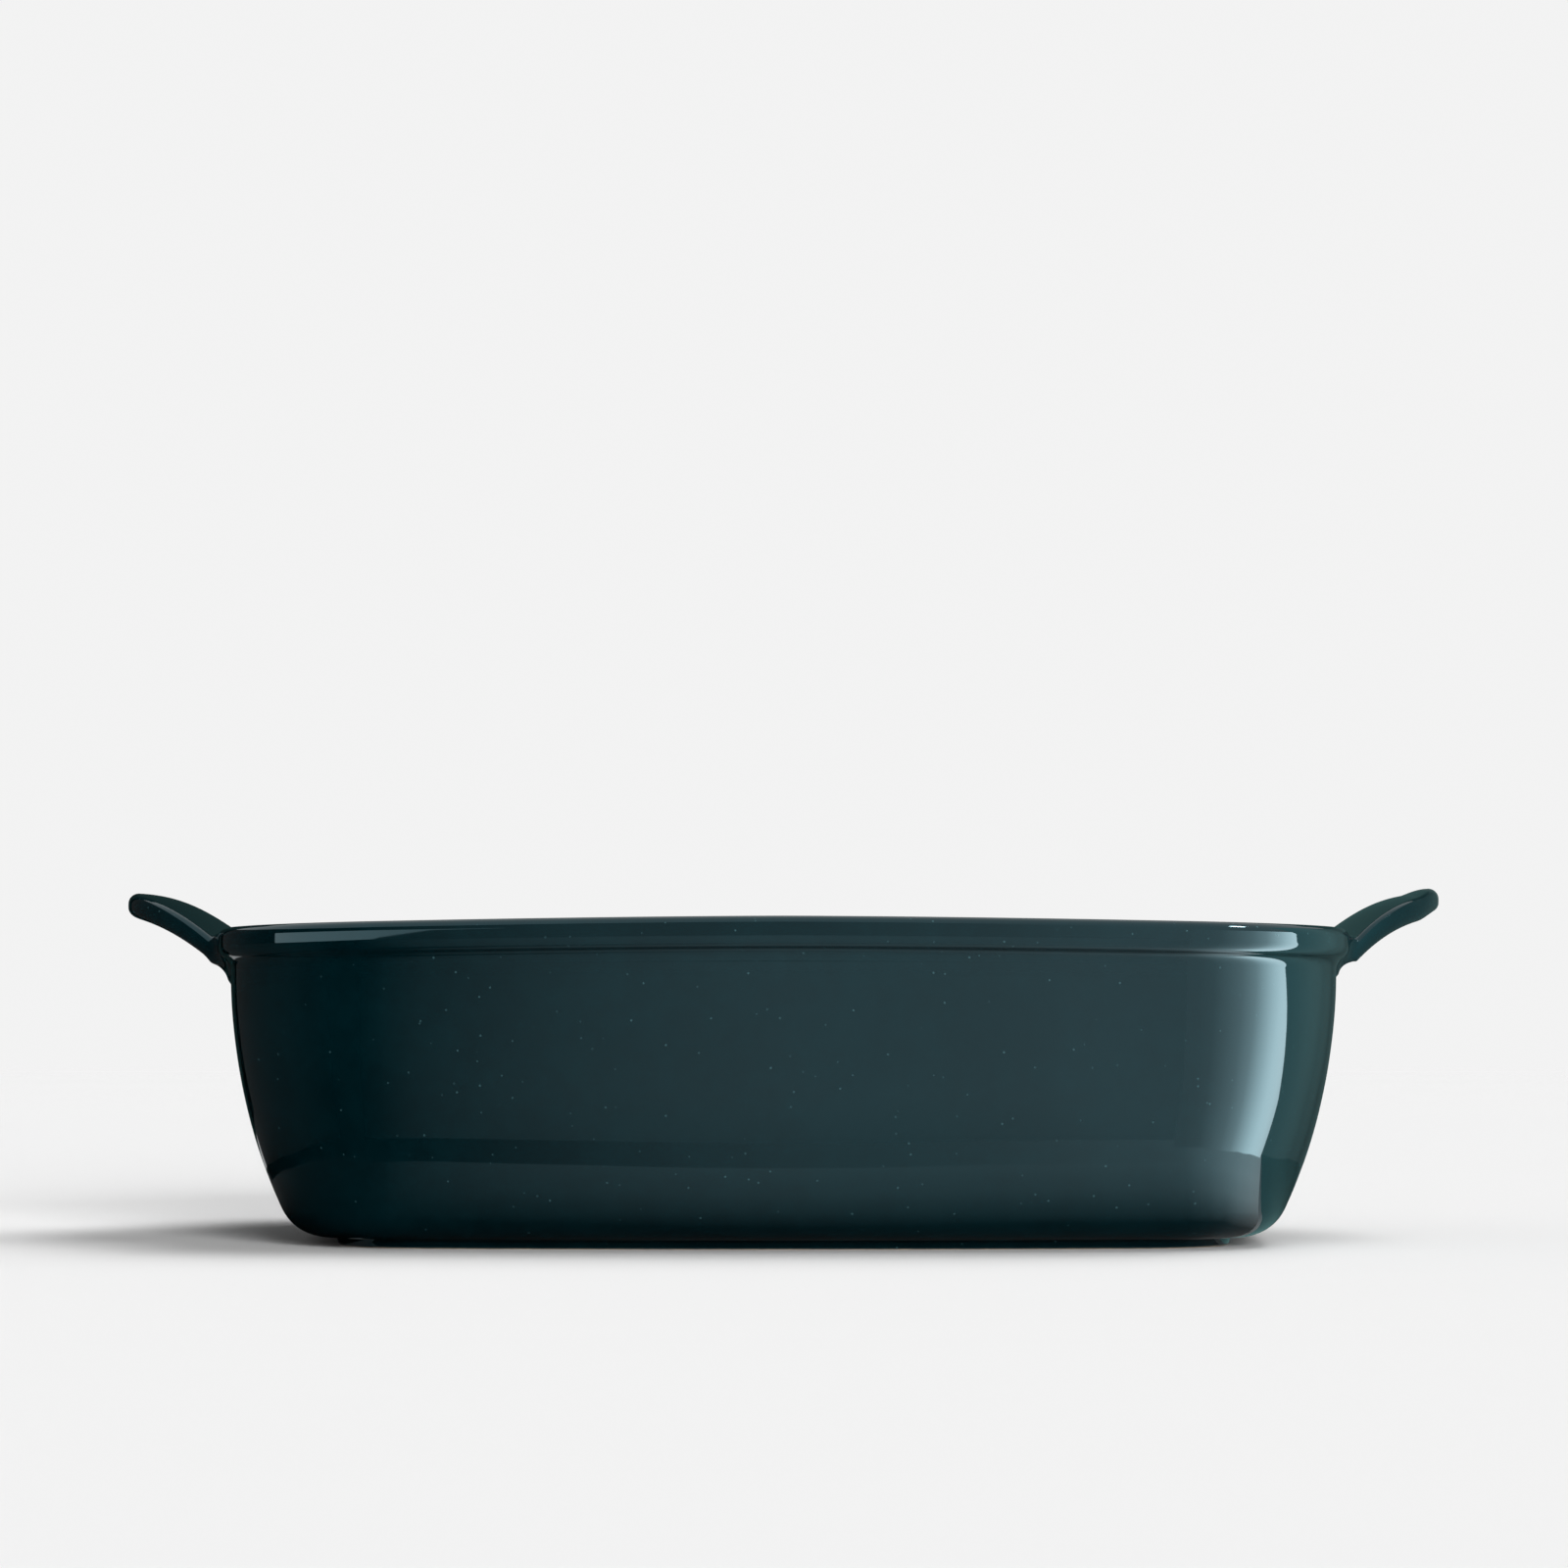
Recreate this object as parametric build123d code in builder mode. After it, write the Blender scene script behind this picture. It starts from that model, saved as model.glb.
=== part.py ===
from build123d import *
from math import exp
import os

# Lasagna dish in glazed stoneware: a deep dish with bowed sides and a flared rim band,
# a solid ear handle on each short end, and a bare standing ring under the floor.
# The origin is the centre of the surface that the dish stands on. +X runs from handle
# to handle, +Y across the width and +Z up.

# Plan of the rim edge
rim_length = 353.0
rim_width = 280.0
rim_height = 98.0
corner_radius = 62.0
side_bow_radius = 950.0
end_bow_radius = 700.0

# Rim band and the cove under it
rim_round = 3.0
rim_band_height = 6.5
cove_height = 6.5
rim_overhang = 4.1

# Outer wall, by its inset from the rim edge at three heights
belly_height = 40.0
belly_inset = 9.7
heel_height = 11.2
heel_inset = 20.0
underside_inset = 31.0

# Wall thickness, floor thickness and where the level part of the floor begins
wall_thickness = 7.0
floor_thickness = 7.5
floor_inset = 42.0

# Standing ring
foot_height = 3.0
foot_inset = 36.5
foot_corner_radius = 34.0
foot_width = 9.0
foot_draft = 0.8
foot_edge_round = 0.7

# Ear handles: reach past the rim edge, rise over it, section and plan
handle_reach = 33.5
handle_rise = 12.5
handle_root_drop = 0.7
handle_thickness = 7.0
handle_arch = 3.0
handle_root_arch_share = 0.3
handle_root_width = 128.0
handle_tip_width_share = 0.8125
handle_tip_bow = 3.0
handle_tip_radius = 24.0
handle_root_radius = 12.0
handle_seat_depth = 1.0
handle_edge_share = 0.43

# Flare of a handle's underside into the wall, shallower at the flanks
flare_height = 7.0
flare_length = 2.2
flare_flank_share = 0.6

# Sections that a handle is lofted through, closer together where it flares
handle_stations = 14
handle_station_growth = 1.6
handle_root_share = 0.85

# Overrun of bounding and cutting shapes
overrun = 5.0

# Sizes that follow from those above
rim_end = rim_length / 2
rim_side = rim_width / 2
band_foot_height = rim_height - rim_band_height
wall_top_height = band_foot_height - cove_height
rim_inner_inset = rim_overhang + wall_thickness
floor_height = foot_height + floor_thickness
wall_end = rim_end - rim_overhang
tip_end = rim_end + handle_reach
handle_edge_round = handle_edge_share * handle_thickness
cut_height = rim_height + handle_rise + overrun


def bowed_outline(inset, corner):
    """Rounded rectangle with four long arcs for sides, set in from the rim edge."""
    side_shift = rim_side - side_bow_radius
    end_shift = rim_end - end_bow_radius
    with BuildSketch() as outline:
        with Locations((0, side_shift)):
            Circle(side_bow_radius - inset)
        with Locations((0, -side_shift)):
            Circle(side_bow_radius - inset, mode=Mode.INTERSECT)
        with Locations((end_shift, 0)):
            Circle(end_bow_radius - inset, mode=Mode.INTERSECT)
        with Locations((-end_shift, 0)):
            Circle(end_bow_radius - inset, mode=Mode.INTERSECT)
        fillet(outline.vertices(), radius=corner)
    return outline.sketch


def section_point(inset, height):
    """Point of the section at the +X end, by its inset from the rim edge."""
    return (rim_end - inset, height)


# Dish body: the wall's section swept round the rim edge, with the floor laid inside it
rim_outline = bowed_outline(0, corner_radius)
section_inner_inset = corner_radius - overrun
floor_plate_inset = (floor_inset + section_inner_inset) / 2

with BuildPart() as dish_body:
    with BuildSketch(Plane.XZ):
        with BuildLine():
            # Rounded lip and the face of the rim band
            lip_outer = section_point(rim_round, rim_height)
            band_top = section_point(0, rim_height - rim_round)
            band_foot = section_point(0, band_foot_height)
            TangentArc(lip_outer, band_top, tangent=(1, 0))
            Line(band_top, band_foot)
            # Round under the band that turns into the cove
            cove_middle = section_point(rim_overhang / 2, wall_top_height + cove_height / 2)
            wall_top = section_point(rim_overhang, wall_top_height)
            band_edge = TangentArc(band_foot, cove_middle, tangent=(0, -1))
            cove = TangentArc(cove_middle, wall_top, tangent=band_edge % 1)
            # Outer wall, belly and heel in one tangent run
            belly = section_point(belly_inset, belly_height)
            heel = section_point(heel_inset, heel_height)
            underside = section_point(underside_inset, foot_height)
            wall = TangentArc(wall_top, belly, tangent=cove % 1)
            lower_wall = TangentArc(belly, heel, tangent=wall % 1)
            TangentArc(heel, underside, tangent=lower_wall % 1)
            # Underside and the top of the floor
            underside_inner = section_point(section_inner_inset, foot_height)
            floor_inner = section_point(section_inner_inset, floor_height)
            floor_outer = section_point(floor_inset, floor_height)
            Line(underside, underside_inner)
            Line(underside_inner, floor_inner)
            Line(floor_inner, floor_outer)
            # Inside of the wall, up from the floor in one tangent run
            inner_heel = section_point(heel_inset + wall_thickness, heel_height + floor_thickness)
            inner_belly = section_point(belly_inset + wall_thickness, belly_height)
            inner_top = section_point(rim_inner_inset, wall_top_height)
            lip_foot = section_point(rim_inner_inset, rim_height - rim_round)
            lip_inner = section_point(rim_inner_inset - rim_round, rim_height)
            inner_round = TangentArc(floor_outer, inner_heel, tangent=(1, 0))
            inner_lower = TangentArc(inner_heel, inner_belly, tangent=inner_round % 1)
            TangentArc(inner_belly, inner_top, tangent=inner_lower % 1)
            Line(inner_top, lip_foot)
            TangentArc(lip_foot, lip_inner, tangent=(0, 1))
            Line(lip_inner, lip_outer)
        make_face()
    sweep(path=rim_outline.wires()[0])
    with BuildSketch(Plane.XY.offset(foot_height)):
        add(bowed_outline(floor_plate_inset, corner_radius - floor_plate_inset))
    extrude(amount=floor_thickness)

# Standing ring: a bare rib under the floor, a little narrower where it meets the ground
foot_outline = bowed_outline(foot_inset, foot_corner_radius)

with BuildPart() as foot_ring:
    with BuildSketch(Plane.XZ) as foot_section:
        with BuildLine():
            Polyline(
                section_point(foot_inset, foot_height),
                section_point(foot_inset + foot_draft, 0),
                section_point(foot_inset + foot_width - foot_draft, 0),
                section_point(foot_inset + foot_width, foot_height),
                close=True,
            )
        make_face()
        fillet(foot_section.vertices().group_by(Axis.Y)[0], radius=foot_edge_round)
    sweep(path=foot_outline.wires()[0])


def reach_share(x):
    """How far out a section of a handle stands, from 0 at the rim edge to 1 at the tip."""
    return (x - rim_end) / handle_reach


def crest_height(x):
    """Height of a handle's top on its centre line: steep at the rim, level at the tip."""
    return rim_height - handle_root_drop + handle_rise * (1 - (1 - reach_share(x)) ** 2)


def arch_height(x):
    """Drop of a handle's flanks below its centre line, across its root width."""
    return handle_arch * (1 - (1 - handle_root_arch_share) * (1 - reach_share(x)) ** 2)


def flare_depth(x):
    """How much the underside's flare adds below the handle's own thickness."""
    reach = (x - wall_end) / flare_length
    return flare_height * (exp(-reach) if reach > 0 else 2 - exp(reach))


# Handle: arched sections lofted from inside the wall past the tip, trimmed to the ear's
# plan, rounded along the edges and seated on the outside of the end wall
flank = handle_root_width / 2 + handle_root_radius + overrun
flank_share = (2 * flank / handle_root_width) ** 2
loft_start = wall_end - handle_root_share * wall_thickness
loft_end = tip_end + overrun

with BuildPart() as handle_right:
    for index in range(handle_stations):
        station_share = (index / (handle_stations - 1)) ** handle_station_growth
        station = loft_start + station_share * (loft_end - loft_start)
        flare = flare_depth(station)
        crest = crest_height(station)
        crest_flank = crest - flank_share * arch_height(station)
        under = crest - handle_thickness - flare
        under_flank = crest_flank - handle_thickness - flare_flank_share * flare
        with BuildSketch(Plane.YZ.offset(station)):
            with BuildLine():
                ThreePointArc((-flank, crest_flank), (0, crest), (flank, crest_flank))
                Line((flank, crest_flank), (flank, under_flank))
                ThreePointArc((flank, under_flank), (0, under), (-flank, under_flank))
                Line((-flank, under_flank), (-flank, crest_flank))
            make_face()
    loft()
    # Plan of the ear, with a concave round on each side where it runs into the wall
    with BuildSketch() as ear_plan:
        with Locations((rim_end - end_bow_radius, 0)):
            Circle(end_bow_radius - rim_overhang - handle_seat_depth)
        with BuildLine():
            root_side = handle_root_width / 2
            tip_side = handle_tip_width_share * root_side
            corner_x = tip_end - handle_tip_bow
            inner_x = wall_end - wall_thickness
            inner_side = root_side + (rim_end - inner_x) * (root_side - tip_side) / handle_reach
            ThreePointArc((corner_x, -tip_side), (tip_end, 0), (corner_x, tip_side))
            Polyline(
                (corner_x, tip_side),
                (inner_x, inner_side),
                (inner_x, -inner_side),
                (corner_x, -tip_side),
            )
        make_face()
        ear_corners = ear_plan.vertices().filter_by(lambda v: v.X > 0 and abs(v.Y) < flank)
        fillet(ear_corners.filter_by(lambda v: v.X > rim_end), radius=handle_tip_radius)
        fillet(ear_corners.filter_by(lambda v: v.X < rim_end), radius=handle_root_radius)
    extrude(amount=cut_height, mode=Mode.INTERSECT)
    long_edges = handle_right.edges().filter_by(GeomType.LINE, reverse=True)
    fillet(long_edges.filter_by(lambda e: e.center().X > wall_end), radius=handle_edge_round)
    # What lies inside the middle of the end wall, and then the wall itself, is taken off
    with BuildSketch():
        with Locations((rim_end - end_bow_radius, 0)):
            Circle(end_bow_radius - rim_overhang - wall_thickness / 2)
    extrude(amount=cut_height, mode=Mode.SUBTRACT)
    add(dish_body.part, mode=Mode.SUBTRACT)

with BuildPart() as handle_left:
    add(mirror(handle_right.part, about=Plane.YZ, mode=Mode.PRIVATE))

# Each piece goes to its own file
os.makedirs("parts", exist_ok=True)
dish_body.part.label = "dish_body"
foot_ring.part.label = "foot_ring"
handle_left.part.label = "handle_left"
handle_right.part.label = "handle_right"
export_step(dish_body.part, "parts/dish_body.step")
export_step(foot_ring.part, "parts/foot_ring.step")
export_step(handle_left.part, "parts/handle_left.step")
export_step(handle_right.part, "parts/handle_right.step")
for piece in (dish_body, foot_ring, handle_left, handle_right):
    print(piece.part.label, "volume in cubic centimetres:", round(piece.part.volume / CM**3, 1))
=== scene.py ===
from math import atan2, cos, hypot, pi, sin, sqrt

import bpy
import numpy as np
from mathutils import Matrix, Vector


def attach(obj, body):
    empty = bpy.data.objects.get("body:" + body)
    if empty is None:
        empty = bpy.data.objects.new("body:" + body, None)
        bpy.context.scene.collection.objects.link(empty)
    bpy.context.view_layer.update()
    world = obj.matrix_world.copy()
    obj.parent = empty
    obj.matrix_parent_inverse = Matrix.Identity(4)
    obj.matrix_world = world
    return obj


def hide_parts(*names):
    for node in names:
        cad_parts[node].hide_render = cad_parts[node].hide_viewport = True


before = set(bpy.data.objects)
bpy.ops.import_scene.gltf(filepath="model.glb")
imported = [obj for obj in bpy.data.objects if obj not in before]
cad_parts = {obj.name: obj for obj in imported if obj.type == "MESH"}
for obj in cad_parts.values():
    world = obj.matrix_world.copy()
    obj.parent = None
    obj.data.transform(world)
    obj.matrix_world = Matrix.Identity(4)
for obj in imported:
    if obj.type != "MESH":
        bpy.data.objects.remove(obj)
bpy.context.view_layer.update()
mm = 0.001
print("frame loaded")


# Sizes are in millimetres, from the middle of the surface that the dish stands on

dish = {
    "rimEnd": 176.5,            # half the rim's length
    "rimSide": 140.0,           # half the rim's width
    "rimHeight": 98.0,
    "cornerRadius": 62.0,
    "sideBow": 950.0,
    "endBow": 700.0,
    "crownRise": 0.7,           # rim a little higher at mid length
    "crownFall": 2.5,           # and lower towards the ends
    "crownPower": 1.5,
    "crownStart": 58.0,         # heights where the wall begins to follow the crown, and all of it does
    "crownFull": 91.5,
    "lipRound": 3.0,
    "bandFoot": 92.6,           # where the rim band begins to roll under into the cove
    "wallTop": [4.1, 85.0],     # insets from the rim edge, with heights
    "belly": [9.7, 40.0],
    "heel": [20.0, 11.2],
    "underside": [31.0, 3.0],
    "wall": 7.0,
    "floorHeight": 10.5,
    "floorInset": 42.0,
    "sideSteps": 34,
    "cornerSteps": 26,
    "endSteps": 22,
    "sectionStep": 3.2,         # spacing of the section's points, and most that it turns between two
    "sectionTurn": 0.11,
    "flatCorner": 5.0,          # corner radius where the flat middles of floor and underside begin
}


# Plan of the dish: two long bowed sides, two bowed ends and four round corners

def planArcs(inset, corner):
    sideCentre = np.array([0.0, dish["rimSide"] - dish["sideBow"]])
    endCentre = np.array([dish["rimEnd"] - dish["endBow"], 0.0])
    sideRadius = dish["sideBow"] - inset
    endRadius = dish["endBow"] - inset
    # the corner's centre is where the two bows, set in by its radius, cross
    apart = endCentre - sideCentre
    gap = hypot(*apart)
    along = ((sideRadius - corner) ** 2 - (endRadius - corner) ** 2 + gap ** 2) / (2 * gap)
    across = sqrt((sideRadius - corner) ** 2 - along ** 2)
    unit = apart / gap
    cornerCentre = sideCentre + along * unit + across * np.array([unit[1], -unit[0]])
    sideTurn = atan2(*(cornerCentre - sideCentre))
    endTurn = atan2(*(cornerCentre - endCentre))
    return [
        (sideCentre, sideRadius, 0.0, sideTurn, dish["sideSteps"]),
        (cornerCentre, corner, sideTurn, endTurn, dish["cornerSteps"]),
        (endCentre, endRadius, endTurn, pi / 2, dish["endSteps"]),
    ]


def planRing(inset, corner):
    spots = []
    aims = []
    for centre, radius, start, stop, steps in planArcs(inset, corner):
        for turn in np.linspace(start, stop, steps, endpoint=False):
            aim = np.array([sin(turn), cos(turn)])
            spots.append(centre + radius * aim)
            aims.append(aim)
    spots = np.array(spots + [[dish["rimEnd"] - inset, 0.0]])
    aims = np.array(aims + [[1.0, 0.0]])
    flipY = np.array([1, -1])
    flipX = np.array([-1, 1])
    quarters = [(spots[:-1], aims[:-1])]
    quarters.append(((spots * flipY)[:0:-1], (aims * flipY)[:0:-1]))
    quarters.append(((spots * flipX * flipY)[:-1], (aims * flipX * flipY)[:-1]))
    quarters.append(((spots * flipX)[:0:-1], (aims * flipX)[:0:-1]))
    return np.concatenate([q[0] for q in quarters]), np.concatenate([q[1] for q in quarters])


rimArcs = planArcs(0, dish["cornerRadius"])


def planInset(x, y):
    # distance inwards from the rim edge, for any point of the plan
    x = np.abs(x)
    y = np.abs(y)
    (side, sideRadius, *_), (corner, cornerRadius, *_), (end, endRadius, *_) = rimArcs
    toSide = sideRadius - np.hypot(x - side[0], y - side[1])
    toEnd = endRadius - np.hypot(x - end[0], y - end[1])
    toCorner = cornerRadius - np.hypot(x - corner[0], y - corner[1])
    pastSide = (x - side[0]) * (corner[1] - side[1]) > (y - side[1]) * (corner[0] - side[0])
    pastEnd = (y - end[1]) * (corner[0] - end[0]) > (x - end[0]) * (corner[1] - end[1])
    return np.where(pastSide & pastEnd, toCorner, np.minimum(toSide, toEnd))


def smooth(share):
    share = np.clip(share, 0, 1)
    return share * share * (3 - 2 * share)


def crown(x, z):
    # how much the rim stands above or below its level line
    shift = dish["crownRise"] - dish["crownFall"] * (np.abs(x) / dish["rimEnd"]) ** dish["crownPower"]
    return shift * smooth((z - dish["crownStart"]) / (dish["crownFull"] - dish["crownStart"]))


# Section of the wall, as arcs that run on from one another. Across is outwards from the rim edge

def bend(start, stop, heading):
    # arc from start to stop that leaves along heading, with its centre and 1 / its signed radius
    start = np.array(start, float)
    stop = np.array(stop, float)
    left = np.array([-heading[1], heading[0]])
    run = stop - start
    lean = 2 * (run @ left) / (run @ run)
    if abs(lean) < 1e-6:
        lean = 1e-6
    centre = start + left / lean
    spoke = (stop - centre) * lean
    return {"start": start, "stop": stop, "centre": centre, "lean": lean,
            "headings": (np.array(heading, float), np.array([-spoke[1], spoke[0]]))}


def runOn(points, heading):
    bends = []
    for start, stop in zip(points[:-1], points[1:]):
        piece = bend(start, stop, heading)
        heading = piece["headings"][1]
        bends.append(piece)
    return bends


def sampled(piece):
    # points along an arc with the heading at each
    start, stop = piece["start"], piece["stop"]
    a, b = piece["headings"]
    turn = atan2(a[0] * b[1] - a[1] * b[0], a @ b)
    chord = hypot(*(stop - start))
    count = max(2, int(round(chord / dish["sectionStep"])), int(abs(turn) / dish["sectionTurn"]))
    spots = []
    for share in np.linspace(0, 1, count, endpoint=False):
        angle = turn * share
        heading = a * cos(angle) + np.array([-a[1], a[0]]) * sin(angle)
        if abs(turn) < 1e-4:
            spot = start + (stop - start) * share
        else:
            left = np.array([-heading[1], heading[0]])
            spot = piece["centre"] - left / piece["lean"]
        spots.append((spot, heading))
    return spots


def sampledRun(bends):
    # points along a run of arcs with the outward aim at each
    spots = []
    for piece in bends:
        spots += sampled(piece)
    spots.append((bends[-1]["stop"], bends[-1]["headings"][1]))
    return [(spot, np.array([-heading[1], heading[0]])) for spot, heading in spots]


lip = dish["lipRound"]
top = dish["rimHeight"]
wallTop = [-dish["wallTop"][0], dish["wallTop"][1]]
coveMiddle = [wallTop[0] / 2, (dish["bandFoot"] + wallTop[1]) / 2]
belly = [-dish["belly"][0], dish["belly"][1]]
heel = [-dish["heel"][0], dish["heel"][1]]
underside = [-dish["underside"][0], dish["underside"][1]]
centreInset = dish["cornerRadius"] - dish["flatCorner"]
innerTop = [wallTop[0] - dish["wall"], wallTop[1]]
innerBelly = [belly[0] - dish["wall"], belly[1]]
innerHeel = [heel[0] - dish["wall"], heel[1] + dish["floorHeight"] - dish["underside"][1]]
floorOuter = [-dish["floorInset"], dish["floorHeight"]]

# from the lip down the outside to the underside, then from the floor up the inside
outside = runOn([[-lip, top], [0, top - lip]], [1, 0])
outside += runOn([[0, top - lip], [0, dish["bandFoot"]]], [0, -1])
outside += runOn([[0, dish["bandFoot"]], coveMiddle, wallTop, belly, heel, underside], [0, -1])
inside = runOn([floorOuter, innerHeel, innerBelly, innerTop], [1, 0])
inside += runOn([innerTop, [innerTop[0], top - lip]], [0, 1])
inside += runOn([[innerTop[0], top - lip], [innerTop[0] + lip, top]], [0, 1])


def newMesh(name, spots, faces, aims=None):
    mesh = bpy.data.meshes.new(name)
    mesh.from_pydata([tuple(s) for s in spots], [], [tuple(f) for f in faces])
    mesh.validate()
    mesh.shade_smooth()
    if aims is not None:
        aims = aims / np.linalg.norm(aims, axis=1)[:, None]
        mesh.normals_split_custom_set_from_vertices([tuple(a) for a in aims])
    piece = bpy.data.objects.new(name, mesh)
    bpy.context.scene.collection.objects.link(piece)
    return piece


def crowned(spots, aims):
    # lifts or lowers points with the crown and turns their normals to match
    x, z = spots[:, 0], spots[:, 2]
    slopeX = crown(x + 0.5, z) - crown(x - 0.5, z)
    slopeZ = crown(x, z + 0.5) - crown(x, z - 0.5)
    lifted = spots.copy()
    lifted[:, 2] += crown(x, z)
    turned = aims.copy()
    turned[:, 0] -= slopeX * aims[:, 2] / (1 + slopeZ)
    turned[:, 2] = aims[:, 2] / (1 + slopeZ)
    return lifted, turned


def makeBody():
    # rings of the section: from the underside out, up, over the lip and down the inside to the floor
    up = sampledRun(outside)[::-1]
    down = sampledRun(inside)[::-1]
    under = (np.array([-centreInset, dish["underside"][1]]), np.array([0.0, -1.0]))
    floorEdge = (np.array([-centreInset, dish["floorHeight"]]), np.array([0.0, 1.0]))
    profile = [under] + up + down + [floorEdge]
    spots = []
    aims = []
    for (across, height), (aimAcross, aimUp) in profile:
        ring, out = planRing(-across, dish["cornerRadius"] + across)
        count = len(ring)
        spots.append(np.column_stack([ring, np.full(count, height)]))
        aims.append(np.column_stack([out * aimAcross, np.full(count, aimUp)]))
    # the flat middles of the underside and of the floor close in on the centre
    for end, first in ((0, True), (-1, False)):
        ring = spots[end]
        aim = aims[end]
        inwards = [ring * [s, s, 1] for s in (0.75, 0.5, 0.25)]
        if first:
            spots = inwards[::-1] + spots
            aims = [aim] * 3 + aims
        else:
            spots = spots + inwards
            aims = aims + [aim] * 3
    spots = np.concatenate(spots)
    aims = np.concatenate(aims)
    count = len(ring)
    total = len(spots) // count
    faces = []
    for row in range(total - 1):
        for column in range(count):
            a = row * count + column
            b = row * count + (column + 1) % count
            faces.append((a, a + count, b + count, b))
    middle = len(spots)
    spots = np.vstack([spots, [0, 0, dish["underside"][1]], [0, 0, dish["floorHeight"]]])
    aims = np.vstack([aims, [0, 0, -1], [0, 0, 1]])
    for column in range(count):
        nextOne = (column + 1) % count
        faces.append((middle, column, nextOne))
        faces.append((middle + 1, (total - 1) * count + nextOne, (total - 1) * count + column))
    spots, aims = crowned(spots, aims)
    return newMesh("dishShell", spots * mm, faces, aims)


footRing = {
    "inset": 36.5,
    "cornerRadius": 34.0,
    "width": 9.0,
    "height": 3.0,
    "draft": 0.8,
    "edgeRound": 0.7,
    "roundSteps": 5,
    "sharpFrom": 0.6,           # edges that turn more than this stay crisp
}


def makeFootRing():
    outer = -footRing["inset"]
    inner = outer - footRing["width"]
    draft = footRing["draft"]
    turn = footRing["edgeRound"]
    height = footRing["height"]
    corners = [[outer, height], [outer - draft, 0], [inner + draft, 0], [inner, height]]
    section = [corners[0]]
    for before, corner, after in zip(corners[:-2], corners[1:-1], corners[2:]):
        before, corner, after = (np.array(c, float) for c in (before, corner, after))
        start = corner + (before - corner) / hypot(*(before - corner)) * turn
        stop = corner + (after - corner) / hypot(*(after - corner)) * turn
        for share in np.linspace(0, 1, footRing["roundSteps"]):
            section.append(start * (1 - share) ** 2 + corner * 2 * share * (1 - share) + stop * share ** 2)
    section.append(corners[-1])
    rings = []
    for across, rise in section:
        ring, _ = planRing(-across, footRing["cornerRadius"] + across - outer)
        rings.append(np.column_stack([ring, np.full(len(ring), rise)]))
    count = len(rings[0])
    spots = np.concatenate(rings)
    faces = []
    for row in range(len(rings)):
        following = (row + 1) % len(rings)
        for column in range(count):
            nextOne = (column + 1) % count
            faces.append((row * count + column, row * count + nextOne,
                          following * count + nextOne, following * count + column))
    piece = newMesh("standingRing", spots * mm, faces)
    piece.data.set_sharp_from_angle(angle=footRing["sharpFrom"])
    return piece


# Handles: solid fields, negative inside, joined to the wall by rounds

# Both ears share their plan; height, curl and seat were shaped on each
handle = {
    "tip": 208.9,
    "rootWidth": 64.0,          # half widths
    "tipWidth": 52.0,
    "tipBow": 135.0,
    "tipRadius": 24.0,
    "thickness": 7.4,
    "levelOut": 0.12,           # share of the reach over which the slab levels out inside the wall
    "kickStart": 0.66,          # where the tip's upward kick begins and how far it takes
    "kickLength": 0.22,
    "archFade": 0.75,
    "upperRound": 3.3,
    "lowerRound": 3.0,
    "seatRound": 2.2,
    "sink": 2.0,                # how deep the join's round dives into the wall, past the seat's
    "setBack": 0.06,            # the skin lies this far under the wall's where they coincide
    "skinDepth": 3.0,           # it closes this deep in the wall and this far in from the rim edge
    "skinInset": 5.6,
    "step": 0.8,                # grid of the skin's points, and the box that it fills
    "low": [164.0, -86.0, 68.0],
    "high": [213.0, 86.0, 114.0],
    "passes": 4,                # times that the points are pulled on to the surface
}
handleRight = {
    "rootHeight": 94.8,
    "rise": 14.2,
    "curl": 2.8,
    "lipKick": 1.5,
    "arch": 4.3,
    "underRound": 6.3,
}
handleLeft = {
    "rootHeight": 95.4,
    "rise": 13.6,
    "curl": 2.4,
    "lipKick": 0.0,
    "arch": 4.6,
    "underRound": 10.0,
}


def fieldOf(bends, across, height):
    # signed distance to the section, nearest of its arcs
    best = np.full(across.shape, 1e9)
    for piece in bends:
        first, last = piece["headings"]
        after = (across - piece["start"][0]) * first[0] + (height - piece["start"][1]) * first[1] >= -1e-6
        ahead = (across - piece["stop"][0]) * last[0] + (height - piece["stop"][1]) * last[1] <= 1e-6
        radius = 1 / piece["lean"]
        reach = np.hypot(across - piece["centre"][0], height - piece["centre"][1])
        distance = (reach - abs(radius)) * (1 if radius < 0 else -1)
        better = after & ahead & (np.abs(distance) < np.abs(best))
        best = np.where(better, distance, best)
    return best


def roundedMeet(a, b, radius):
    # both solids at once, with a round outer edge
    deep = np.minimum(np.maximum(a, b) + radius, 0)
    return deep + np.hypot(np.maximum(a + radius, 0), np.maximum(b + radius, 0)) - radius


def filletedJoin(a, b, radius):
    # either solid, with a round fillet between them
    near = np.maximum(radius, np.minimum(a, b))
    return near - np.hypot(np.maximum(radius - a, 0), np.maximum(radius - b, 0))


# the whole outside, and the wall alone as if it ran on up without a band
bandBends = runOn([[-40, top], [-lip, top]], [1, 0]) + outside[:6]
wallLine = outside[4]["headings"][0]
aboveWall = [wallTop[0] - wallLine[0] * 40, wallTop[1] - wallLine[1] * 40]
plainWall = runOn([aboveWall, wallTop], wallLine) + outside[4:7]


def wallField(spots):
    across = -planInset(spots[:, 0], spots[:, 1])
    height = spots[:, 2] - crown(spots[:, 0], spots[:, 2])
    return across, fieldOf(bandBends, across, height), fieldOf(plainWall, across, height)


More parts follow.
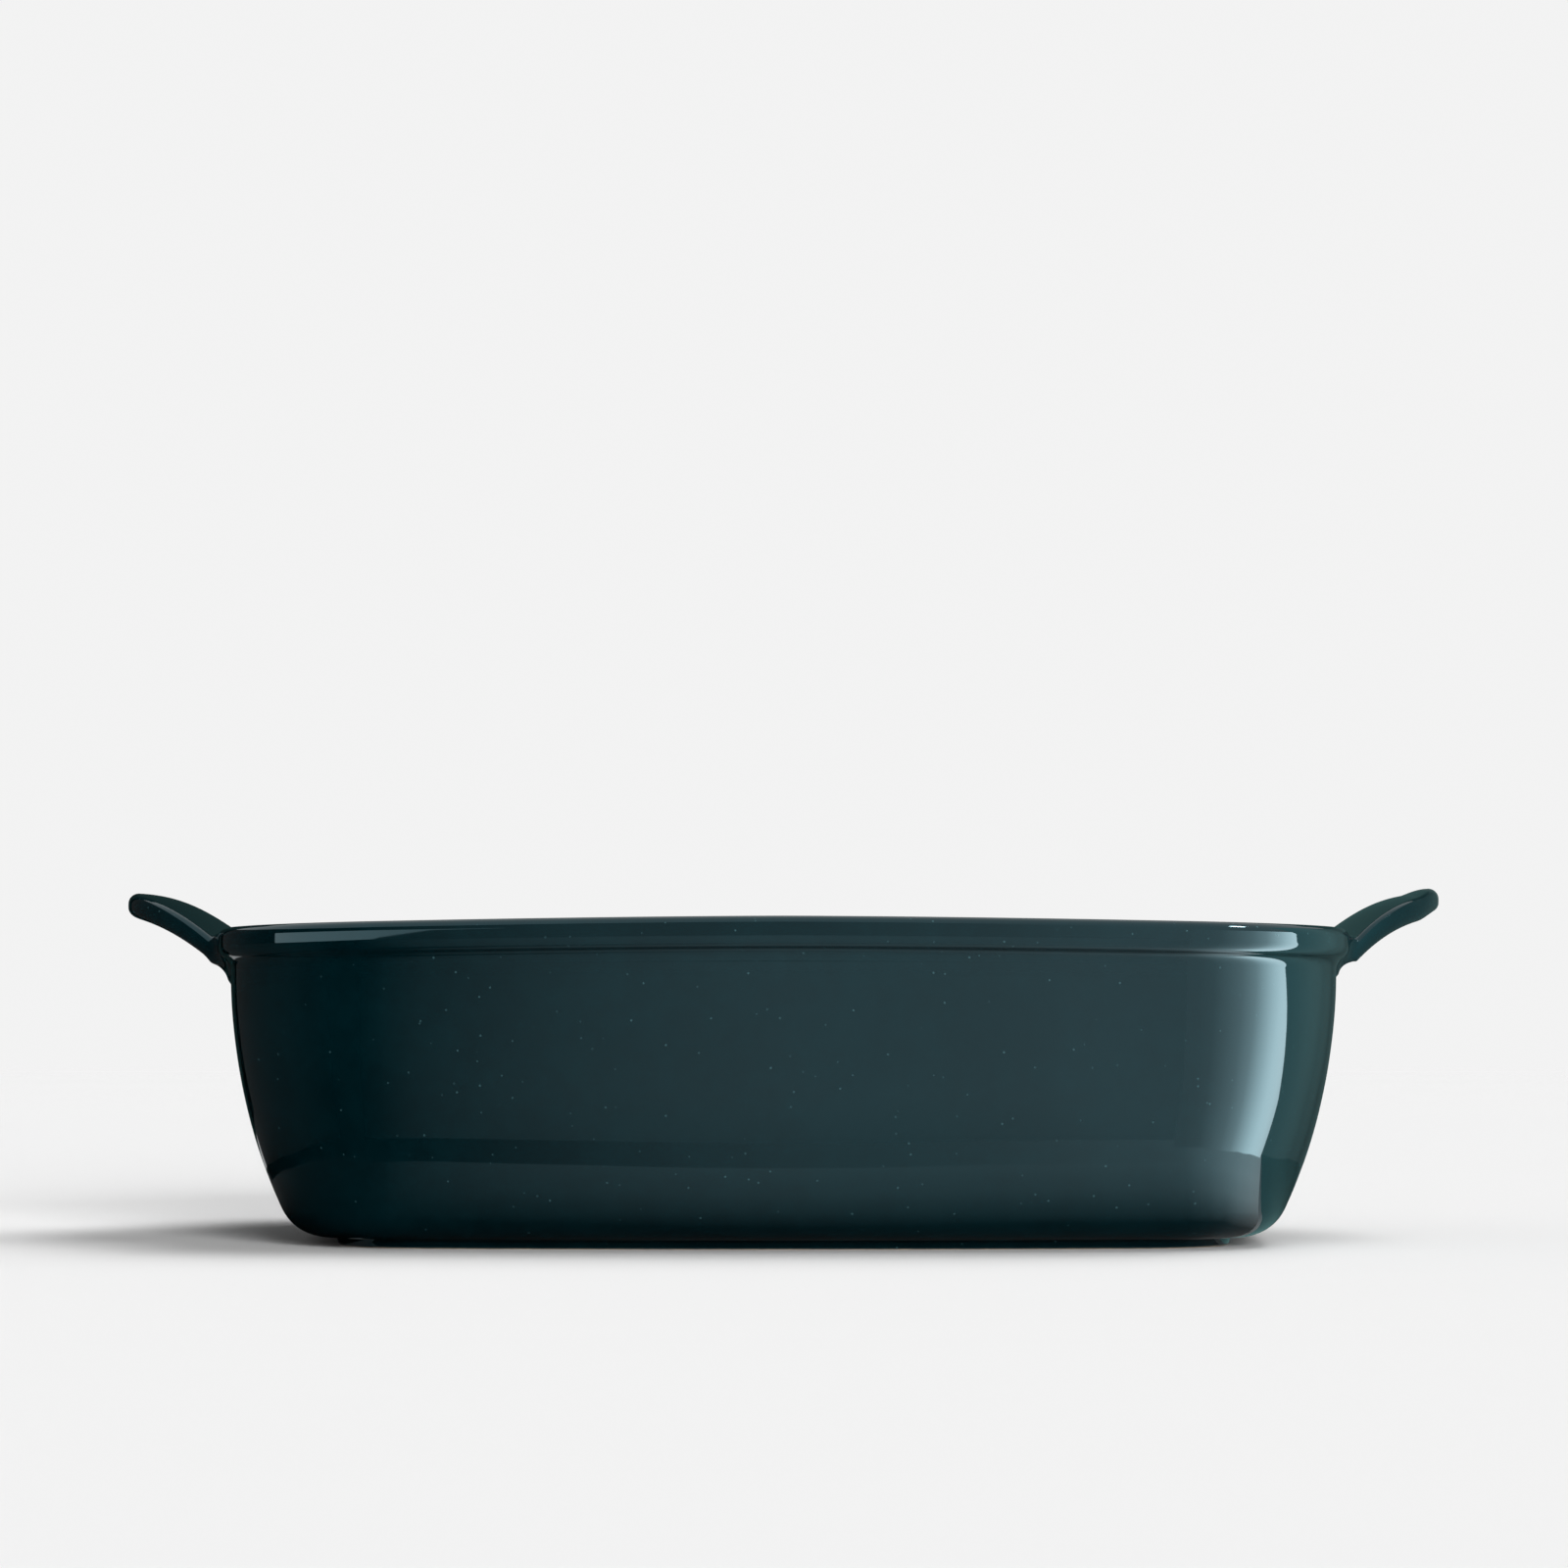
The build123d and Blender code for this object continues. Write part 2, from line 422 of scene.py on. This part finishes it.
def earField(spots, ear):
    # the ear's own slab, and how far towards its upper side each point is
    x, y, z = spots.T
    y = np.abs(y)
    length = handle["tip"] - dish["rimEnd"]
    reach = (x - dish["rimEnd"]) / length
    # inside the wall the slab runs on level
    left = np.clip(1 - reach, 0, 1)
    crest = ear["rootHeight"] + ear["rise"] * (1 - left ** ear["curl"])
    crest = crest + ear["lipKick"] * smooth((reach - handle["kickStart"]) / handle["kickLength"])
    slope = ear["rise"] * ear["curl"] * left ** (ear["curl"] - 1) / length
    slope = slope * smooth(1 + reach / handle["levelOut"])
    level = 1 / np.sqrt(1 + slope ** 2)
    sag = ear["arch"] * (1 - handle["archFade"] * left ** 3)
    crest = crest - sag * (y / handle["rootWidth"]) ** 2
    above = (z - crest) * level
    below = (crest - handle["thickness"] - z) * level
    narrowing = (handle["rootWidth"] - handle["tipWidth"]) / length
    flank = (y - handle["rootWidth"] + narrowing * (x - dish["rimEnd"])) / hypot(1, narrowing)
    tip = np.hypot(x - handle["tip"] + handle["tipBow"], y) - handle["tipBow"]
    plan = roundedMeet(flank, tip, handle["tipRadius"])
    upper = roundedMeet(above, plan, handle["upperRound"])
    lower = roundedMeet(below, plan, handle["lowerRound"])
    side = smooth(0.5 + (above - below) / handle["thickness"] / 2)
    return np.maximum(upper, lower), side


def seatedEar(spots, ear, closed=True):
    across, wall, plain = wallField(spots)
    solid, side = earField(spots, ear)
    under = ear["underRound"]
    radius = under + (handle["seatRound"] - under) * side
    joined = filletedJoin(plain, solid, radius)
    # away from the ear the round sinks into the wall
    seat = handle["seatRound"]
    sunk = joined + (seat + handle["sink"]) * smooth((solid / radius - 0.6) / 0.4)
    whole = filletedJoin(wall, sunk, seat)
    if not closed:
        return whole
    # where the two coincide the skin stays just under the wall's, and it closes inside the wall
    setBack = handle["setBack"] * smooth((sunk - seat + 0.4) / 0.4)
    deepest = np.maximum(-wall - handle["skinDepth"], -across - handle["skinInset"])
    closing = np.maximum(deepest, sunk - seat - 0.25)
    return np.maximum(whole + setBack, closing)


def slopeOf(field, spots):
    parts = []
    for axis in range(3):
        nudge = np.zeros(3)
        nudge[axis] = 0.01
        parts.append((field(spots + nudge) - field(spots - nudge)) / 0.02)
    return np.stack(parts, 1)


def skinOf(field, low, high, step):
    # one point in each cell that the surface crosses, joined by a face across each crossed grid edge
    axes = [np.arange(a, b + step, step) for a, b in zip(low, high)]
    grid = np.stack(np.meshgrid(*axes, indexing="ij"), -1)
    values = field(grid.reshape(-1, 3)).reshape(grid.shape[:3])
    inner = values < 0
    size = [n - 1 for n in inner.shape]
    corners = [(i, j, k) for i in (0, 1) for j in (0, 1) for k in (0, 1)]

    def corner(array, c):
        return array[c[0]:c[0] + size[0], c[1]:c[1] + size[1], c[2]:c[2] + size[2]]

    total = np.zeros(size + [3])
    crossings = np.zeros(size)
    for a in corners:
        for axis in range(3):
            if a[axis]:
                continue
            b = tuple(1 if n == axis else a[n] for n in range(3))
            va, vb = corner(values, a), corner(values, b)
            crossed = corner(inner, a) != corner(inner, b)
            share = np.where(crossed, va / np.where(crossed, va - vb, 1), 0)
            spot = np.array(a, float) + share[..., None] * (np.array(b) - np.array(a))
            total += np.where(crossed[..., None], spot, 0)
            crossings += crossed
    used = crossings > 0
    base = np.stack(np.meshgrid(*[np.arange(n) for n in size], indexing="ij"), -1)
    spots = (base[used] + total[used] / crossings[used][:, None]) * step + np.array(low)
    number = np.full(size, -1)
    number[used] = np.arange(len(spots))
    faces = []
    for axis in range(3):
        u, v = (axis + 1) % 3, (axis + 2) % 3
        ahead = np.roll(inner, -1, axis)
        crossed = inner != ahead
        for cell in np.argwhere(crossed):
            if cell[u] == 0 or cell[v] == 0 or any(cell >= size):
                continue
            back = [0, 0, 0]
            quad = []
            for du, dv in ((1, 1), (0, 1), (0, 0), (1, 0)):
                back[u], back[v] = du, dv
                quad.append(number[tuple(cell - back)])
            faces.append(quad if inner[tuple(cell)] else quad[::-1])
    return spots, faces


def makeEar(name, ear, direction):
    def field(spots):
        return seatedEar(spots, ear)

    spots, faces = skinOf(field, handle["low"], handle["high"], handle["step"])
    for _ in range(handle["passes"]):
        slope = slopeOf(field, spots)
        spots = spots - slope * (field(spots) / np.maximum((slope ** 2).sum(1), 0.05))[:, None]
    aims = slopeOf(lambda s: seatedEar(s, ear, closed=False), spots)
    if direction < 0:
        flip = np.array([-1, 1, 1])
        spots, aims = spots * flip, aims * flip
        faces = [face[::-1] for face in faces]
    return newMesh(name, spots * mm, faces, aims)


shell = makeBody()
ring = makeFootRing()
earLeft = makeEar("earLeft", handleLeft, -1)
earRight = makeEar("earRight", handleRight, 1)
print("dish, ring and ears built:", [len(p.data.vertices) for p in (shell, ring, earLeft, earRight)])

for piece, node, slot in (
    (shell, "dish_body", "glaze"),
    (ring, "foot_ring", "bare_clay"),
    (earLeft, "handle_left", "glaze"),
    (earRight, "handle_right", "glaze"),
):
    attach(piece, "root")
    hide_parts(node)


# Shaders

class Wire:
    # a node's output that takes plain arithmetic, one Math node for each step
    def __init__(self, look, socket):
        self.look = look
        self.socket = socket

    def step(self, operation, *values):
        return self.look.node("ShaderNodeMath", {"operation": operation}, list(values))

    def __add__(self, other):
        return self.step("ADD", self, other)

    def __sub__(self, other):
        return self.step("SUBTRACT", self, other)

    def __rsub__(self, other):
        return self.step("SUBTRACT", other, self)

    def __mul__(self, other):
        return self.step("MULTIPLY", self, other)

    __radd__ = __add__
    __rmul__ = __mul__

    def most(self, other):
        return self.step("MAXIMUM", self, other)

    def over(self, low, high):
        # smooth rise from 0 at low to 1 at high
        settings = {"interpolation_type": "SMOOTHSTEP"}
        values = {"Value": self, "From Min": low, "From Max": high}
        return self.look.node("ShaderNodeMapRange", settings, values)


class Look:
    # the nodes of one material, or of the world
    def __init__(self, name, owner=None):
        self.owner = owner or bpy.data.materials.new(name)
        self.owner.use_nodes = True
        self.tree = self.owner.node_tree
        self.tree.nodes.clear()

    def node(self, kind, settings=None, values=None, output=0):
        node = self.tree.nodes.new(kind)
        for key, value in (settings or {}).items():
            setattr(node, key, value)
        pairs = values.items() if isinstance(values, dict) else enumerate(values or [])
        for key, value in pairs:
            if isinstance(value, Wire):
                self.tree.links.new(value.socket, node.inputs[key])
            else:
                node.inputs[key].default_value = value
        return Wire(self, node.outputs[output])

    def blend(self, share, first, second):
        # colour mix
        settings = {"data_type": "RGBA"}
        return self.node("ShaderNodeMix", settings, {0: share, 6: first, 7: second}, output=2)

    def noise(self, where, scale, detail=2.0, rough=0.5):
        values = {"Vector": where, "Scale": scale, "Detail": detail, "Roughness": rough}
        return self.node("ShaderNodeTexNoise", None, values)

    def end(self, surface, kind="ShaderNodeOutputMaterial"):
        output = self.tree.nodes.new(kind)
        self.tree.links.new(surface.socket, output.inputs["Surface"])
        return self.owner


glaze = {
    "deep": (0.0002, 0.0044, 0.0058, 1),
    "thin": (0.0004, 0.0068, 0.0088, 1),
    "speck": (0.022, 0.055, 0.062, 1),
    "tint": (0.52, 0.88, 1.0, 1),
    "ior": 1.6,
    "roughness": 0.035,
    "cloudScale": 22,           # scales of the noise in the colour, the gloss and the surface
    "fineScale": 160,
    "glossScale": 60,
    "waveScale": 45,
    "grainScale": 420,
    "speckChance": (0.3, 0.95),
    "speckSpacing": 0.0034,     # metres
    "speckSize": 0.00032,
    "waviness": 0.03,           # height of the waves in the surface
}


def glazeParts(look):
    place = look.node("ShaderNodeTexCoord", None, None, output="Object")
    clouds = look.noise(place, glaze["cloudScale"], 3)
    fine = look.noise(place, glaze["fineScale"], 3)
    colour = look.blend((0.65 * clouds + 0.35 * fine).over(0.36, 0.66), glaze["deep"], glaze["thin"])
    # some of the cells hold a pale speck
    scatter = {"Vector": place, "Scale": 1 / glaze["speckSpacing"]}
    cells = look.node("ShaderNodeTexVoronoi", None, scatter)
    pick = look.node("ShaderNodeTexVoronoi", None, scatter, output="Color")
    chance = look.node("ShaderNodeSeparateColor", None, {"Color": pick})
    size = glaze["speckSize"] / glaze["speckSpacing"]
    speck = (1 - cells.over(size * 0.5, size * 1.3)) * chance.over(*glaze["speckChance"])
    colour = look.blend(speck, colour, glaze["speck"])
    rough = glaze["roughness"] + 0.02 * look.noise(place, glaze["glossScale"], 3) + 0.1 * speck
    waves = look.noise(place, glaze["waveScale"], 2)
    grain = look.noise(place, glaze["grainScale"], 2)
    relief = waves + 0.06 * grain + 0.05 * speck
    values = {"Strength": 0.35, "Distance": glaze["waviness"] * mm, "Height": relief}
    bump = look.node("ShaderNodeBump", None, values)
    return place, colour, rough, bump


def glazeLook():
    look = Look("petrolGlaze")
    _, colour, rough, bump = glazeParts(look)
    values = {
        "Base Color": colour,
        "Roughness": rough,
        "IOR": glaze["ior"],
        "Specular Tint": glaze["tint"],
        "Normal": bump,
    }
    return look.end(look.node("ShaderNodeBsdfPrincipled", None, values))


bareClay = {
    "pale": (0.46, 0.35, 0.25, 1),
    "dark": (0.33, 0.24, 0.165, 1),
    "glazeLine": 0.0001,        # metres above the ground, with the band over which the glaze thins out
    "glazeFade": 0.0002,
}


def ringLook():
    # glaze runs down the ring's sides and stops short of the ground, on bare clay
    look = Look("glazedRing")
    place, colour, _, bump = glazeParts(look)
    grit = look.noise(place, 900, 4, 0.7)
    clay = look.blend(grit.over(0.35, 0.7), bareClay["pale"], bareClay["dark"])
    height = look.node("ShaderNodeSeparateXYZ", None, [place], output="Z")
    edge = height + bareClay["glazeFade"] * (look.noise(place, 120, 2) - 0.5)
    line = edge.over(bareClay["glazeLine"], bareClay["glazeLine"] + bareClay["glazeFade"])
    values = {
        "Base Color": look.blend(line, clay, colour),
        "Roughness": 0.85 - line * 0.8,
        "IOR": glaze["ior"],
        "Specular Tint": glaze["tint"],
        "Normal": bump,
    }
    return look.end(look.node("ShaderNodeBsdfPrincipled", None, values))


glazeFinish = glazeLook()
for piece in (shell, earLeft, earRight):
    piece.data.materials.append(glazeFinish)
ring.data.materials.append(ringLook())
print("glaze and clay mixed")


# Floor, backdrop and light

studio = {
    "floor": 0.80,              # grey of the floor
    "backdrop": 0.893,          # grey of the backdrop as the camera and the glaze see it
    "fill": 0.20,               # strength of the soft light from all round
    "reach": 7.0,               # metres to where the floor has faded into the backdrop
    "fadeStart": 0.3,           # share of that where it begins to
}


def flatMesh(name, spots, faces):
    mesh = bpy.data.meshes.new(name)
    mesh.from_pydata(spots, [], faces)
    piece = bpy.data.objects.new(name, mesh)
    bpy.context.scene.collection.objects.link(piece)
    return piece


def makeFloor():
    wide = studio["reach"]
    corners = [(-wide, -wide, 0), (wide, -wide, 0), (wide, wide, 0), (-wide, wide, 0)]
    floor = flatMesh("floor", corners, [(0, 1, 2, 3)])
    look = Look("paleFloor")
    place = look.node("ShaderNodeTexCoord", None, None, output="Object")
    away = look.node("ShaderNodeVectorMath", {"operation": "LENGTH"}, [place], output="Value")
    fade = away.over(wide * studio["fadeStart"], wide)
    grey = studio["floor"]
    cloth = look.node("ShaderNodeBsdfDiffuse", None, {"Color": (grey, grey, grey, 1)})
    clear = look.node("ShaderNodeBsdfTransparent")
    floor.data.materials.append(look.end(look.node("ShaderNodeMixShader", None, [fade, cloth, clear])))


def makeWorld():
    world = bpy.data.worlds.new("studioAir")
    bpy.context.scene.world = world
    look = Look("studioAir", world)
    camera = look.node("ShaderNodeLightPath", None, None, output="Is Camera Ray")
    gloss = look.node("ShaderNodeLightPath", None, None, output="Is Glossy Ray")
    through = look.node("ShaderNodeLightPath", None, None, output="Is Transmission Ray")
    seen = camera.most(gloss).most(through)
    level = studio["fill"] + (studio["backdrop"] - studio["fill"]) * seen
    air = look.node("ShaderNodeBackground", None, {"Color": (1, 1, 1, 1), "Strength": level})
    look.end(air, "ShaderNodeOutputWorld")


# Far softboxes: direction in degrees from straight in front of the dish, turning right,
# height in degrees, width of the light in degrees, and what it adds to a white floor
softboxes = {
    "frontLow": (16, 13, 22, 0.30),
    "topRight": (95, 70, 34, 0.40),
    "topBack": (140, 55, 36, 0.216),
}
# A small bright window that only the glaze reflects, given the same way
spark = (77, 55, 7, 0.19)


def farLight(name, turn, rise, width, share):
    data = bpy.data.lights.new(name, "SUN")
    data.angle = width * pi / 180
    data.energy = share * pi / sin(rise * pi / 180)
    item = bpy.data.objects.new(name, data)
    turn, rise = turn * pi / 180, rise * pi / 180
    towards = Vector((cos(rise) * sin(turn), -cos(rise) * cos(turn), sin(rise)))
    item.rotation_euler = towards.to_track_quat("Z", "Y").to_euler()
    item.location = towards * 3
    bpy.context.scene.collection.objects.link(item)
    return item


def makeSoftboxes():
    for name, aim in softboxes.items():
        farLight(name, *aim).visible_glossy = False
    farLight("spark", *spark).visible_diffuse = False


# Painted reflections: black flags and glowing panels round the dish that only the glaze reflects.
# Nothing else sees them and they cast no shadow; they paint dark reflections and highlights into the glaze.
# Each follows a path of (x, y, strength) in rows of (outwards, height, share), all in millimetres.
# A flag is black and its strength is how much it hides. A panel's is its brightness. A fourth number
# lifts the last row
cards = {
    # black card seen only in the glaze: painted dark reflection on the left and front of the wall, fading
    # towards the right
    "leftFlag": {
        "glow": None,
        "path": [(-222, 200, 0.3), (-222, 31, 0.3), (-222, 30, 0.95), (-222, -60, 0.95), (-206, -118, 0.95),
                 (-176, -152, 1), (-150, -162, 1), (-134, -166, 0.95), (-122, -168, 0.82), (-110, -169, 0.73),
                 (-90, -170, 0.60), (-64, -171, 0.47), (-32, -171, 0.35), (0, -171, 0.25), (32, -171, 0.22),
                 (64, -171, 0.15), (96, -169, 0.06), (135, -166, 0.03)],
        "rows": [(-18, 0.8, 1), (15, 86, 1)],
    },
    # black card above it: painted dark reflection on the rim band, deepest on the left
    "bandFlag": {
        "glow": None,
        "path": [(-222, 200, 0.3), (-222, 31, 0.3), (-222, 30, 0.95), (-222, -60, 0.95), (-206, -118, 1),
                 (-176, -152, 1), (-150, -162, 1), (-110, -169, 0.8), (-64, -171, 0.62), (0, -171, 0.53),
                 (64, -171, 0.33), (110, -168, 0.1), (135, -166, 0)],
        "rows": [(15, 86, 1), (15, 150, 1)],
    },
    # glowing sheet just above the floor that only the glaze sees: painted floor reflection, dark on the left,
    # brighter towards the right, with painted shade where it nears the dish
    "floorReflectionSheet": {
        "glow": (1, 1, 1, 1),
        "path": [(-222, 200, 0.05), (-222, 30, 0.05), (-216, -60, 0.05), (-200, -118, 0.03),
                 (-176, -152, 0.02), (-150, -162, 0.02), (-134, -166, 0.06), (-122, -168, 0.18),
                 (-110, -169, 0.26), (-90, -170, 0.39), (-64, -171, 0.50), (-32, -171, 0.61),
                 (0, -171, 0.69), (32, -171, 0.72), (64, -171, 0.78), (96, -169, 0.88), (122, -166, 0.95),
                 (140, -163, 1.15), (159, -154, 1.7), (176, -141, 2.5), (185, -126, 3.0),
                 (191, -115, 3.0), (195, -105, 2.6)],
        "rows": [(-76, 0.6, 0.02), (-54, 0.6, 0.04), (-44, 0.6, 0.3), (-33, 0.6, 0.7),
                 (-18, 0.6, 0.95), (1.5, 0.6, 1)],
    },
    # glowing panel beside the right corner: painted tall highlight on the corner and highlight on the rim
    # band
    "sidePanel": {
        "glow": (1, 1, 1, 1),
        "path": [(130, -160, 0.93), (139, -158, 0.97), (148, -155, 1.1), (157, -150, 1.6),
                 (165, -144, 2.2), (173, -137, 3.5), (180, -131, 5.9), (184, -125, 7.8),
                 (188, -120, 8.8), (190, -117, 8.8, -14), (192.3, -112, 8.4, -42),
                 (194.5, -106.5, 7.0, -74)],
        "rows": [(0, 0.7, 1), (0, 104, 1)],
    },
    # teal glowing panel at the right end: painted dimmer teal highlight on the right end
    "rightPanel": {
        "glow": (0.58, 1, 1, 1),
        "path": [(195, -122, 0.9), (200, -103, 0.85), (206, -85, 0.75), (219, -48, 0.37),
                 (224, 7, 0.14), (222, 180, 0.1)],
        "rows": [(0, 0.7, 1), (0, 150, 1)],
    },
    # teal glowing sheet on the floor at the right that only the glaze sees: painted reflection of a lit
    # floor, dimmer near the dish
    "rightFloorReflection": {
        "glow": (0.5, 1, 1, 1),
        "path": [(195, -104, 0.7), (204, -85, 0.6), (219, -48, 0.3), (224, 7, 0.12), (222, 180, 0.1)],
        "rows": [(-90, 0.5, 0.16), (-50, 0.5, 0.5), (8, 0.5, 1)],
    },
    # dim teal glowing panel behind the dish, not a black flag: painted dark teal reflection on the handle
    # tops and the rim
    "backDimPanel": {
        "glow": (0.45, 1, 1, 1),
        "path": [(330, 150, 0.1), (230, 230, 0.09), (0, 250, 0.06), (-230, 230, 0.03), (-330, 150, 0.03)],
        "rows": [(0, 0.6, 1), (0, 330, 1)],
    },
    # glowing strip at the left: painted highlight streak on the left of the rim band
    "leftStrip": {
        "glow": (1, 1, 1, 1),
        "path": [(-209, -123, 1.6), (-187, -145, 1.6), (-163, -161, 1.55, 2), (-132, -168, 1.4, 6),
                 (-109, -171, 1.1, 9), (-90, -172, 0.8, 12)],
        "rows": [(0, 101, 1), (0, 87, 1)],
    },
}


def makeCard(name, size):
    spots = []
    faces = []
    strengths = []
    path = size["path"]
    rows = size["rows"]
    for index, (x, y, strength, *lift) in enumerate(path):
        before = Vector(path[max(index - 1, 0)][:2])
        after = Vector(path[min(index + 1, len(path) - 1)][:2])
        along = (after - before).normalized()
        out = Vector((along.y, -along.x))
        for row, (outwards, height, share) in enumerate(rows):
            if lift and row == len(rows) - 1:
                height += lift[0]
            spots.append(((x + out.x * outwards) * mm, (y + out.y * outwards) * mm, height * mm))
            strengths.append(strength * share if size["glow"] else 1 - (1 - strength) * share)
    for index in range(len(path) - 1):
        for row in range(len(rows) - 1):
            a = index * len(rows) + row
            faces.append((a, a + len(rows), a + len(rows) + 1, a + 1))
    card = flatMesh(name, spots, faces)
    levels = card.data.attributes.new("level", "FLOAT", "POINT")
    levels.data.foreach_set("value", strengths)
    # a panel glows as a painted highlight, a flag is a painted dark reflection
    look = Look(name + "PaintedReflection")
    level = look.node("ShaderNodeAttribute", {"attribute_name": "level"}, None, output="Fac")
    if size["glow"]:
        paintedReflection = look.node("ShaderNodeEmission", None, {"Color": size["glow"], "Strength": level})
    else:
        black = look.node("ShaderNodeBsdfDiffuse", None, {"Color": (0, 0, 0, 1)})
        clear = look.node("ShaderNodeBsdfTransparent")
        paintedReflection = look.node("ShaderNodeMixShader", None, [level, clear, black])
    card.data.materials.append(look.end(paintedReflection))
    # only glossy rays see the card, so it is a painted reflection that lights nothing
    card.visible_camera = False
    card.visible_diffuse = False
    card.visible_transmission = False
    card.visible_volume_scatter = False
    card.visible_shadow = False


makeFloor()
makeWorld()
makeSoftboxes()
for name, size in cards.items():
    makeCard(name, size)
print("studio set up")


# Camera: close to the height of the dish's middle, looking straight at a long side

shot = {
    "distance": 1.5,
    "height": 0.0657,
    "focalPixels": 4770.0,
    "imagePixels": 1600,
    "horizon": 1050,            # image row of the eye level
    "centre": 799.5,
}


def makeCamera():
    data = bpy.data.cameras.new("camera")
    data.sensor_fit = "HORIZONTAL"
    data.sensor_width = 36
    data.lens = 36 * shot["focalPixels"] / shot["imagePixels"]
    data.clip_start = 0.05
    data.clip_end = 30
    item = bpy.data.objects.new("camera", data)
    bpy.context.scene.collection.objects.link(item)
    tilt = atan2(shot["horizon"] - shot["imagePixels"] / 2, shot["focalPixels"])
    turn = atan2(shot["imagePixels"] / 2 - shot["centre"], shot["focalPixels"])
    item.location = (0, -shot["distance"], shot["height"])
    item.rotation_euler = (pi / 2 + tilt, 0, -turn)
    bpy.context.scene.camera = item


makeCamera()
bpy.context.scene.view_settings.view_transform = "Standard"

print("ready")
